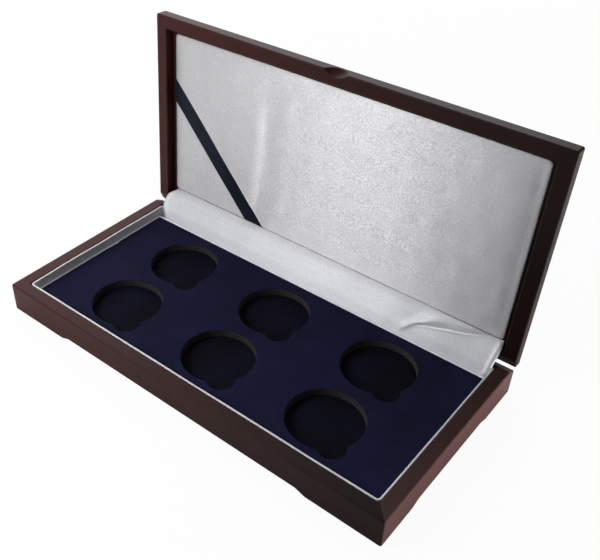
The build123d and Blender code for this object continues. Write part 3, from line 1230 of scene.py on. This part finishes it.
@dataclass
class LidPad:
    """The satin pad in the lid, drawn on the shut lid: its face looks down at the coins."""

    half_x: float = 137.4
    front: float = 12.6
    rear: float = 134.9
    back_z: float = 27.7
    corner: float = 2.6
    spacing: float = 1.3
    roll_points: int = 8
    edge_height: float = 0.8
    edge_roll: float = 1.6
    swell: float = 0.25
    fold_height: float = 0.42
    ribbon_start: tuple[float, float] = (-137.4, 53.4)
    ribbon_end: tuple[float, float] = (-59.7, 134.9)

    def lines(self, length: float) -> Array:
        """Offsets across the pad: a quarter turn's cosine steps at each edge, even ones between.

        Args:
            length: how long the pad is that way.

        Returns:
            The offsets, from 0 to the length.
        """
        quarter = np.linspace(0.0, math.pi / 2, self.roll_points)
        bend = self.edge_roll * (1 - np.cos(quarter))
        count = round((length - 2 * self.edge_roll) / self.spacing)
        middle = np.linspace(self.edge_roll, length - self.edge_roll, count)[1:-1]
        return np.concatenate([bend, middle, length - bend[::-1]])

    def plan(self) -> tuple[Array, Array, Array]:
        """Lays the pad's grid out flat, with its corners rounded.

        In each corner a square of the grid becomes a quarter disc: each of its two shares is
        multiplied by the root of one less half the other's square.

        Returns:
            x, y and the distance in from the edge, all on the grid.
        """
        x = self.lines(2 * self.half_x) - self.half_x
        y = self.lines(self.rear - self.front) + self.front
        x, y = np.meshgrid(x, y, indexing="ij")
        middle, half_y = 0.5 * (self.front + self.rear), 0.5 * (self.rear - self.front)
        from_x, from_y = self.half_x - np.abs(x), half_y - np.abs(y - middle)
        a = np.clip(1 - from_x / self.corner, 0.0, 1.0)
        b = np.clip(1 - from_y / self.corner, 0.0, 1.0)
        in_corner = (a > 0) & (b > 0)
        a, b = a * np.sqrt(1 - b**2 / 2), b * np.sqrt(1 - a**2 / 2)
        new_x = np.sign(x) * (self.half_x - self.corner + self.corner * a)
        new_y = middle + np.sign(y - middle) * (half_y - self.corner + self.corner * b)
        round_edge = np.maximum(self.corner * (1 - np.sqrt(a**2 + b**2)), 0.0)
        return (
            np.where(in_corner, new_x, x),
            np.where(in_corner, new_y, y),
            np.where(in_corner, round_edge, np.minimum(from_x, from_y)),
        )

    def fold(self, x: Array, y: Array) -> Array:
        """The soft fold that runs down from the front rail, as a share of its height.

        Across its line it rises slowly, drops steeply and comes back slowly.

        Args:
            x: x of the places, on the shut lid.
            y: y of the places.

        Returns:
            The share at each.
        """
        line = through([10.0, 44.0, 74.0, 108.0, 135.0], [-56.0, -57.1, -56.7, -60.0, -66.0], y)
        off = x - line
        across = 0.2 * ease(off, -18.0, -4.0) - 1.2 * ease(off, -4.5, 4.0) + ease(off, 4.0, 22.0)
        return across * ease(y, 12.0, 62.0) * (1 - ease(y, 112.0, 134.0))

    def height(self, x: Array, y: Array, edge: Array) -> Array:
        """How far the satin stands off the card.

        A quarter ellipse over the roll at the edge, a slow swell towards the middle, the fold and a
        little unevenness.

        Args:
            x: x of the places, on the shut lid.
            y: y of the places.
            edge: their distance in from the pad's edge.

        Returns:
            The height at each.
        """
        roll = np.sqrt(np.maximum(1 - (1 - np.minimum(edge / self.edge_roll, 1.0)) ** 2, 0.0))
        across = x / self.half_x
        down = (y - 0.5 * (self.front + self.rear)) / (0.5 * (self.rear - self.front))
        swell = self.swell * (1 - across**4) * (1 - down**4)
        uneven = Ripple(51, 60.0, 0.16).at(x, y) + Ripple(52, 22.0, 0.04).at(x, y)
        soft = swell + self.fold_height * self.fold(x, y) + uneven
        return self.edge_height * roll + soft * ease(edge, 0.5, 9.0)

    def ribbon_way(self) -> tuple[Array, Array, float]:
        """Where the ribbon starts, its direction and its length across the pad."""
        start, end = np.array(self.ribbon_start), np.array(self.ribbon_end)
        length = float(np.linalg.norm(end - start))
        return start, (end - start) / length, length

    def held(self, piece: bpy.types.Object) -> Array:
        """Where the satin can't lift: at its glued edges and under the ribbon.

        Args:
            piece: the pad.

        Returns:
            For each of its points, 1 where it is held and 0 where it is free.
        """
        place = np.empty(len(piece.data.vertices) * 3)
        piece.data.vertices.foreach_get("co", place)
        x, y, _ = np.moveaxis(CASE.shut(place.reshape(-1, 3)), -1, 0)
        edge = np.minimum(self.half_x - np.abs(x), np.minimum(y - self.front, self.rear - y))
        start, way, _ = self.ribbon_way()
        off = np.abs((x - start[0]) * way[1] - (y - start[1]) * way[0])
        return np.maximum(1 - ease(edge, 2.0, 7.0), 1 - ease(off, 6.5, 11.0))

    def build(self) -> bpy.types.Object:
        """Makes the padded face, closes it at the card and puffs it up."""
        x, y, edge = self.plan()
        face = np.stack([x, y, self.back_z - self.height(x, y, edge)], axis=-1)
        shell = Shell()
        shell.add(CASE.lid(face), marks=np.stack([y, x], axis=-1) * MM)
        shell.cap(CASE.lid(border(face)))
        piece = shell.piece("satin_pad")
        Wadding().puff(piece, self.held(piece))
        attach(piece, "lid")
        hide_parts("lid_liner_pad")
        return piece


@dataclass
class LidRibbon:
    """The navy ribbon stretched across the pad's lower left corner, wrapped over its edges."""

    pad: LidPad
    width: float = 12.0
    thickness: float = 0.3
    tail: float = 11.0  # past the pad's edge, at each end
    turn: float = 2.2  # how deep it goes round the edge
    bow: float = 0.25  # how far it stands out there
    lift: float = 0.12
    curl: float = 0.05
    closest: float = 0.9  # it rides the pad as it stands this far in, and not lower
    points: tuple[int, int] = (220, 15)

    def build(self) -> bpy.types.Object:
        """Carries the ribbon's flat section along the pad's face.

        What lies beyond the pad's edge goes straight back along its side, bowed out by a half sine,
        and flattens out against it at the full depth of the turn.
        """
        pad = self.pad
        start, way, length = pad.ribbon_way()
        along = np.linspace(-self.tail, length + self.tail, self.points[0])
        across = np.linspace(-self.width / 2, self.width / 2, self.points[1])
        s, t = np.meshgrid(along, across, indexing="ij")
        x = start[0] + way[0] * s - way[1] * t
        y = start[1] + way[1] * s + way[0] * t
        over_x, over_y = np.maximum(-pad.half_x - x, 0.0), np.maximum(y - pad.rear, 0.0)
        x, y = np.maximum(x, -pad.half_x), np.minimum(y, pad.rear)
        edge = np.minimum(x + pad.half_x, pad.rear - y)
        height = pad.height(x, y, np.maximum(edge, self.closest)) + self.lift
        curl = self.curl * (np.abs(t) / (self.width / 2)) ** 4
        over = np.maximum(over_x, over_y)
        level = pad.back_z - height + np.minimum(over, self.turn) - curl
        out = self.bow * np.sin(np.minimum(over / self.turn, 1.0) * math.pi)
        x = x - out * (over_x > over_y)
        y = y + out * (over_y >= over_x) * (over_y > 0)
        face = np.stack([x, y, level], axis=-1)
        back = face + np.array([0.0, 0.0, self.thickness])
        marks = np.stack([s, t], axis=-1) * MM
        shell = Shell()
        shell.add(CASE.lid(face), marks=marks)
        shell.add(CASE.lid(back), flip=True, marks=marks)
        for side in (0, -1, np.s_[:, 0], np.s_[:, -1]):
            shell.add(CASE.lid(np.stack([face[side], back[side]])))
        piece = shell.piece("corner_ribbon")
        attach(piece, "lid")
        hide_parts("lid_ribbon")
        return piece


# ---- hinge cloth -----------------------------------------------------------------------------------


@dataclass
class HingeCloth:
    """The satin sheet that covers the hinge line, from behind the insert to behind the pad.

    It is drawn on the open case. The places up the sheet, at which its edges and its fold are
    given, run from 0 at the tuck behind the insert to the length at the tuck behind the pad.
    """

    length: float = 32.1
    thickness: float = 0.35
    columns: int = 260
    rows: int = 64
    crowding: float = 0.06  # how much closer the columns stand at the two ends
    fold_height: float = 1.5
    bulge: float = 0.5
    turn_back: tuple[float, float] = (0.9, 0.7)  # how far the left and right edges fall
    edge_roll: tuple[float, float] = (0.35, 0.3)

    def lid_point(self, y: float, z: float) -> tuple[float, float]:
        """Where a point of the shut lid lies, as y and z of the open case."""
        where = CASE.lid(np.array([0.0, y, z])) / MM
        return float(where[1]) - CASE.front_y, float(where[2])

    def path(self) -> tuple[Array, Array]:
        """The sheet's line from the base to the lid: places along it, and y and z there."""
        low = [(134.85, 9.8), (134.85, 14.0), (135.8, 18.0), (137.4, 21.5), (142.36, 24.83)]
        high = [self.lid_point(*at) for at in ((137.4, 20.7), (135.6, 25.6), (135.4, 27.9))]
        points = np.array(low + high)
        return travelled(points), points

    def side_lines(self, v: Array) -> tuple[Array, Array]:
        """Follows the sheet's left and right edges.

        Args:
            v: how far up the sheet the places lie.

        Returns:
            x of the left edge and of the right edge at each.
        """
        places = [0.0, 0.13, 0.24, 0.36, 0.53, 0.69, 0.82, 0.96, 1.0]
        left = [-135.0, -134.8, -135.1, -137.7, -140.4, -140.3, -138.4, -136.0, -136.0]
        right = [137.0, 137.1, 139.2, 139.5, 139.5, 139.6, 139.6, 138.4, 138.0]
        share = v / self.length
        return through(places, left, share), through(places, right, share)

    def fold(self, x: Array, v: Array) -> Array:
        """The slanting fold near the right end.

        The cloth stands high above the fold's crest, falls through a lens between two curved lines,
        and ends in a small lip along the lower one.

        Args:
            x: x of the places.
            v: how far up the sheet they lie.

        Returns:
            How far the fold stands out at each.
        """
        crest = through(
            [70.0, 79.0, 84.6, 90.8, 102.5, 110.7, 120.8, 130.0, 141.0],
            [3.5, 10.4, 15.8, 20.7, 25.7, 27.4, 29.6, 31.0, 32.0],
            x,
        )
        foot = through(
            [70.0, 79.0, 84.6, 88.0, 96.9, 104.1, 111.1, 118.2, 123.9, 130.0, 141.0],
            [2.7, 9.6, 14.6, 16.2, 19.1, 21.3, 22.9, 25.1, 27.6, 30.2, 31.2],
            x,
        )
        reach = ease(x, 70.0, 92.0) * (1 - ease(x, 116.0, 134.0))
        rise = ease(v, foot, foot + np.maximum(crest - foot, 0.5))
        fade = 1 - ease(v, crest + 1.0, crest + 9.0)
        lip = 0.28 * bell(v, foot - 0.5, 0.7) - 0.25 * bell(v, foot + 0.5, 0.7)
        return self.fold_height * reach * (rise * fade + lip)

    def push(self, x: Array, v: Array, left: Array, right: Array) -> Array:
        """How far the sheet stands out from its path.

        A bulge over the hinge, a slow unevenness, the fold, and a roll and a fall at the two side
        edges, where the sheet turns back.

        Args:
            x: x of the places.
            v: how far up the sheet they lie.
            left: x of the left edge there.
            right: x of the right edge there.

        Returns:
            The push at each.
        """
        free = ease(v, 3.0, 9.0) * (1 - ease(v, 27.0, 31.5))
        out = self.bulge * bell(v, 17.0, 7.0)
        out = out + Ripple(61, 60.0, 0.12).at(x, v) + Ripple(62, 21.0, 0.03).at(x, v)
        for k, off in enumerate((x - left, right - x)):
            out = out + self.edge_roll[k] * bell(off, 2.0, 1.6)
            out = out - self.turn_back[k] * bell(off, 0.0, 0.8)
        return free * out + self.fold(x, v) * (1 - ease(v, 30.0, 31.8))

    def build(self) -> bpy.types.Object:
        """Lays the sheet along its path, pushes it out along its normal and gives it thickness."""
        places, points = self.path()
        v = np.linspace(0.0, places[-1], self.rows)
        u = np.linspace(0.0, 1.0, self.columns)
        u = u - self.crowding * np.sin(math.tau * u)
        line = through(places, points, v)
        tangent = np.gradient(line, v, axis=0)
        tangent /= np.linalg.norm(tangent, axis=1, keepdims=True)
        normal = np.stack([-tangent[:, 1], tangent[:, 0]], 1)
        v = v * self.length / places[-1]
        left, right = self.side_lines(v)
        grid_x = left + (right - left) * u[:, None]
        grid_v = np.broadcast_to(v, grid_x.shape)
        push = self.push(grid_x, grid_v, left, right)
        face = np.stack([grid_x, *(line[:, k] + normal[:, k] * push for k in range(2))], axis=-1)
        shell = Shell()
        shell.add(CASE.base(face), marks=np.stack([grid_v, grid_x], axis=-1) * MM)
        piece = shell.piece("hinge_sheet")
        wall = piece.modifiers.new("cloth_thickness", "SOLIDIFY")
        wall.thickness = self.thickness * MM
        wall.offset = -1.0
        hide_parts("hinge_cloth")
        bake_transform(piece)
        return piece


# ---- studio ----------------------------------------------------------------------------------------


@dataclass(frozen=True)
class Lamp:
    """A rectangular soft light, turned to the middle of the case. All in metres and watts."""

    name: str
    place: tuple[float, float, float]
    width: float
    height: float
    power: float
    mirrored: bool = True  # False keeps a bright narrow lamp out of the shine on the edges
    aim: tuple[float, float, float] = (0.0, 0.0, 0.06)

    def build(self) -> bpy.types.Object:
        """Hangs the lamp in its place."""
        light = bpy.data.lights.new(self.name, "AREA")
        light.shape = "RECTANGLE"
        light.size, light.size_y = self.width, self.height
        light.energy = self.power
        lamp = put(self.name, light)
        lamp.visible_glossy = self.mirrored
        lamp.location = self.place
        x, y, z = np.array(self.place) - np.array(self.aim)
        lamp.rotation_euler = (math.atan2(math.hypot(x, y), z), 0.0, math.atan2(x, -y))
        return lamp


@dataclass
class Studio:
    """A pale floor, four soft lamps and the camera.

    The key stands in front on the left, with a weak fill further out. A low strip on the right
    stays under the rim, so that it lights the outer faces only. A large sheet behind shows in the
    lacquer of the faces that look up.
    """

    floor_size: float = 14.0
    floor_colour: str = "F2F2F0"
    floor_lift: float = 0.95  # share of the plain white that a viewer sees in the floor
    ambient: float = 0.17
    ambient_colour: str = "F4F5F8"
    lamps: tuple[Lamp, ...] = (
        Lamp("key", (-0.235, -0.40, 0.41), 0.22, 0.22, 2.05),
        Lamp("fill", (-0.85, -0.6, 0.55), 0.7, 0.7, 2.3),
        Lamp("side", (0.70, 0.40, 0.013), 0.7, 0.02, 19.0, mirrored=False),
        Lamp("back", (-0.95, 1.05, 1.0), 2.2, 1.9, 28.0),
    )
    camera_place: tuple[float, float, float] = (0.258104, -0.326341, 0.377085)
    camera_turn: tuple[float, float, float] = (52.0927, -0.0325, 40.2059)
    sensor: float = 36.0
    lens: float = 50.248
    shift: tuple[float, float] = (0.1079, -0.0027)
    clip: tuple[float, float] = (0.01, 50.0)

    def build_floor(self) -> bpy.types.Object:
        """The floor, a plain square."""
        half = self.floor_size / 2
        mesh = bpy.data.meshes.new("floor")
        corners = [(-half, -half, 0.0), (half, -half, 0.0), (half, half, 0.0), (-half, half, 0.0)]
        mesh.from_pydata(corners, [], [(0, 1, 2, 3)])
        floor = put("floor", mesh)
        material, tree = blank("floor_paper")
        paper = node(tree, "BsdfDiffuse", {"Color": linear(self.floor_colour)})
        white = node(tree, "Emission", {"Color": WHITE, "Strength": 1.0})
        seen = node(tree, "LightPath", output="Is Camera Ray")
        share = node(tree, "Math", {0: seen, 1: self.floor_lift}, operation="MULTIPLY")
        mixed = node(tree, "MixShader", {0: share, 1: paper, 2: white})
        node(tree, "OutputMaterial", {"Surface": mixed})
        mesh.materials.append(material)
        return floor

    def build_world(self) -> None:
        """White where it is seen, and a plain dim light on the object."""
        world = bpy.data.worlds.new("studio")
        tree = cleared(world)
        dim = {"Color": linear(self.ambient_colour), "Strength": self.ambient}
        dim = node(tree, "Background", dim)
        white = node(tree, "Background", {"Color": WHITE, "Strength": 1.0})
        seen = node(tree, "LightPath", output="Is Camera Ray")
        mixed = node(tree, "MixShader", {0: seen, 1: dim, 2: white})
        node(tree, "OutputWorld", {"Surface": mixed})
        bpy.context.scene.world = world

    def build_camera(self) -> bpy.types.Object:
        """The camera, above and to the right of the front."""
        data = bpy.data.cameras.new("camera")
        data.sensor_width = self.sensor
        data.lens = self.lens
        data.shift_x, data.shift_y = self.shift
        data.clip_start, data.clip_end = self.clip
        camera = put("camera", data)
        camera.location = self.camera_place
        camera.rotation_euler = tuple(math.radians(a) for a in self.camera_turn)
        bpy.context.scene.camera = camera
        return camera

    def build(self) -> None:
        """Sets up the floor, the lights and the camera."""
        self.build_floor()
        self.build_world()
        for lamp in self.lamps:
            lamp.build()
        self.build_camera()
        bpy.context.scene.view_settings.view_transform = "Standard"


# ---- everything ------------------------------------------------------------------------------------


def main() -> None:
    """Builds the studio and dresses the case, piece by piece."""
    logging.basicConfig(level=logging.INFO, format="%(message)s", stream=sys.stdout)
    Studio().build()
    Woodwork().dress()
    Fittings().dress()
    satin = Satin("white_satin")
    padded = Satin("padded_satin", roughness=0.6, drawn_out=1.0, mirror=0.6, sparkle=0.3)
    draped = Satin(
        "draped_satin",
        white="E7E8EC",
        shade="D8D9DE",
        roughness=0.6,
        drawn_out=0.9,
        mirror=0.4,
        sparkle=0.25,
    )
    velvet = FlockedVelvet("navy_flock")
    # a darker copy of the flock without its bloom: painted shade for the sunken pocket floors
    shaded = FlockedVelvet("pocket_flock_painted_shade", pile="0A0A12", leaning="101020", bloom=0.0)
    insert, pad = Insert(), LidPad()
    for build, finish in (
        (WallLiner().build, satin),
        (insert.flock_top, velvet),
        (insert.foam, CutFoam("charcoal_foam")),
        (insert.pocket_floor, shaded),
        # a whiter copy of the satin: painted light, so that the band's top shows as a bright line
        (insert.edge_band, Satin("band_satin_painted_light", white="F4F4F8", shade="E6E6EC")),
        (pad.build, padded),
        (LidRibbon(pad).build, RibbonWeave("navy_ribbon")),
        (HingeCloth().build, draped),
    ):
        piece = build()
        piece.data.materials.clear()
        piece.data.materials.append(finish.make())
        LOG.info("%s: %d faces", piece.name, len(piece.data.polygons))


if __name__ == "__main__":
    main()
